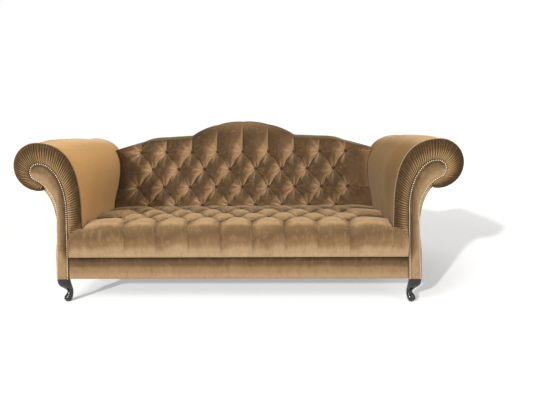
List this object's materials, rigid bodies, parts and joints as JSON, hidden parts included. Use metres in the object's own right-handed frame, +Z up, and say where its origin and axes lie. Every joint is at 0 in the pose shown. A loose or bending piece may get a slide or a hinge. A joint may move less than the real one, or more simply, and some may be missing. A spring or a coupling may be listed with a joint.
{
  "type": "chesterfield sofa",
  "caption": "Three-seat camel-back sofa with deep-buttoned back and seat, rolled scroll arms with pleated borders, nail trim and short cabriole feet.",
  "frame": {"origin": "on the floor under the middle of the sofa's overall box", "axes": "+X to the sitter's left, along the width; -Y is the front; +Z up"},
  "size_m": [2.2814, 0.9276, 0.955],
  "materials": {
    "frame_wood": "planed hardwood, unfinished",
    "velvet_tufted": "golden brown velvet with a soft sheen",
    "velvet_pleated": "golden brown velvet, gathered in pleats",
    "velvet_flat": "golden brown velvet over backing",
    "welt": "velvet-covered piping",
    "button": "velvet-covered",
    "nail": "pale polished",
    "hessian": "coarse natural weave",
    "stuffing": "hair and foam pad",
    "dust_cloth": "black lining",
    "steel": "bright zinc",
    "foot": "black gloss lacquer on wood"
  },
  "bodies": {
    "root": {"front_rail": "frame_wood", "back_rail": "frame_wood", "side_rail_left": "frame_wood", "side_rail_right": "frame_wood", "seat_stretchers": "frame_wood", "foot_blocks": "frame_wood", "arm_board_left": "frame_wood", "arm_board_right": "frame_wood", "arm_rear_board_left": "frame_wood", "arm_rear_board_right": "frame_wood", "arm_top_rail_left": "frame_wood", "arm_top_rail_right": "frame_wood", "arm_scroll_rail_left": "frame_wood", "arm_scroll_rail_right": "frame_wood", "arm_tack_rail_left": "frame_wood", "arm_tack_rail_right": "frame_wood", "crest_rail": "frame_wood", "back_post_left": "frame_wood", "back_post_right": "frame_wood", "back_tack_rail": "frame_wood", "back_slats": "frame_wood", "back_webbing": "hessian", "back_hessian": "hessian", "arm_hessian_left": "hessian", "arm_hessian_right": "hessian", "spring_clips": "steel", "seat_springs": "steel", "seat_hessian": "hessian", "seat_stuffing": "stuffing", "seat_pad": "velvet_tufted", "seat_front_roll": "velvet_tufted", "back_pad": "velvet_tufted", "arm_pad_left": "velvet_tufted", "arm_pad_right": "velvet_tufted", "pleated_border_left": "velvet_pleated", "pleated_border_right": "velvet_pleated", "welt_left": "welt", "welt_right": "welt", "facing_left": "velvet_flat", "facing_right": "velvet_flat", "nail_trim_left": "nail", "nail_trim_right": "nail", "back_buttons": "button", "seat_buttons": "button", "front_rail_cover": "velvet_flat", "outside_arm_left": "velvet_flat", "outside_arm_right": "velvet_flat", "arm_end_left": "velvet_flat", "arm_end_right": "velvet_flat", "outside_back": "velvet_flat", "dust_cover": "dust_cloth", "front_foot_left": "foot", "front_foot_right": "foot", "rear_foot_left": "foot", "rear_foot_right": "foot", "foot_bolts": "steel"}
  },
  "joints": []
}
